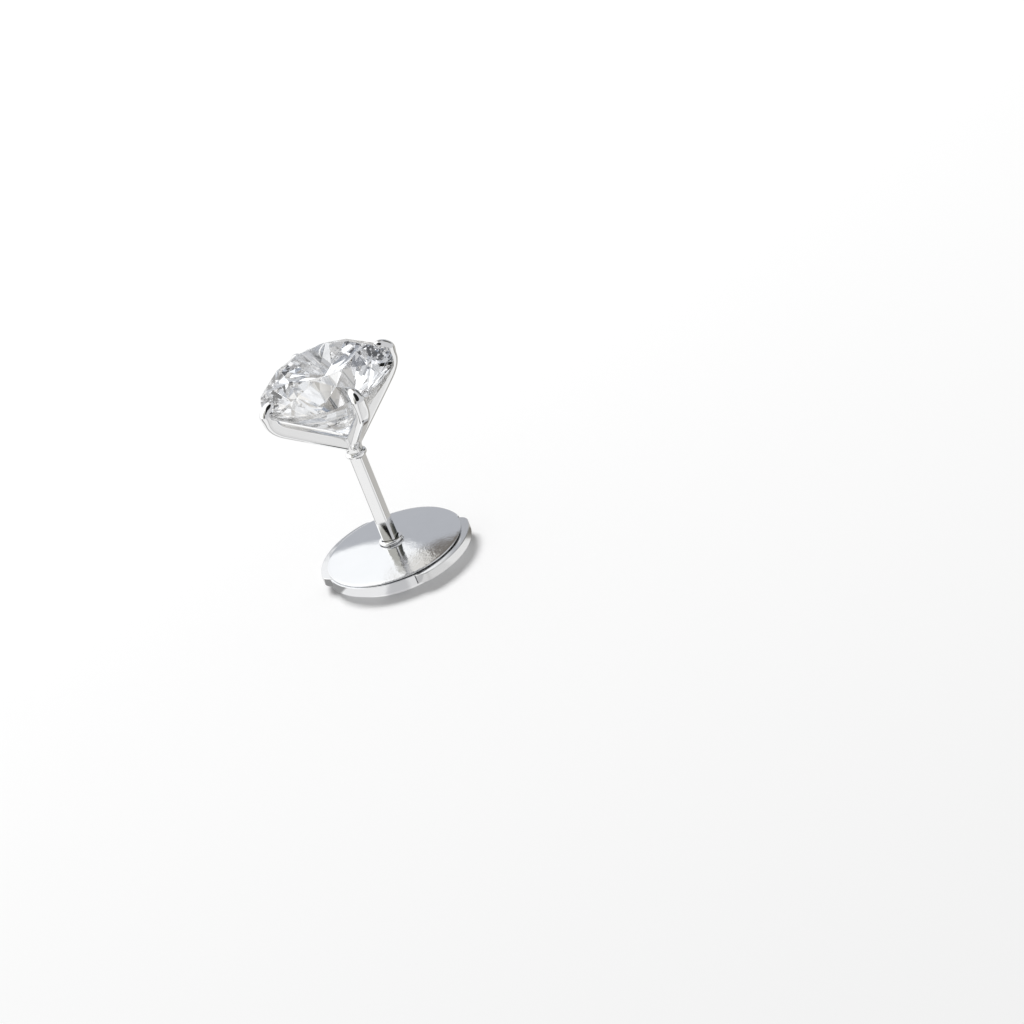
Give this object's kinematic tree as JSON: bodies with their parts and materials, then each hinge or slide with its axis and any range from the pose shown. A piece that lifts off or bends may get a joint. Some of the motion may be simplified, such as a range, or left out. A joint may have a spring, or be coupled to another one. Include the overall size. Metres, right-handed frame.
{
  "type": "stud earring",
  "caption": "Round brilliant stud earring: claw setting on a square post, with a domed disc back that slides on the post and has arc-shaped push grips at its sides.",
  "frame": {"origin": "centre of the back's flat rear face, on which the earring stands", "axes": "+Z along the post towards the stone's table, +X through the middle of the right grip"},
  "size_m": [0.0094, 0.0086, 0.0142],
  "materials": {
    "diamond": "cut and polished, colourless",
    "white_metal": "polished white precious metal",
    "white_metal_back": "polished white precious metal, faintly rippled",
    "white_metal_grip": "polished white precious metal, softly worn"
  },
  "bodies": {
    "back": {"back_rear_case": "white_metal_back", "back_front_plate": "white_metal_back"},
    "grip_right": {"grip_right": "white_metal_grip"},
    "grip_left": {"grip_left": "white_metal_grip"},
    "collar": {"post_collar": "white_metal"},
    "stud": {"claw_setting": "white_metal", "stone": "diamond"}
  },
  "joints": [
    {"name": "grip_right_press", "type": "slide", "parent": "back", "child": "grip_right", "axis": [-1, 0, 0], "range_m": [0, 0.00035], "stiffness_N_per_m": 400},
    {"name": "grip_left_press", "type": "slide", "parent": "back", "child": "grip_left", "axis": [1, 0, 0], "range_m": [0, 0.00035], "stiffness_N_per_m": 400},
    {"name": "collar_swivel", "type": "hinge", "parent": "back", "child": "collar", "pos_m": [0, 0, 0.0015], "axis": [0, 0, 1], "continuous": true},
    {"name": "stud_pull", "type": "slide", "parent": "collar", "child": "stud", "axis": [0, 0, 1], "range_m": [0, 0.004]}
  ]
}
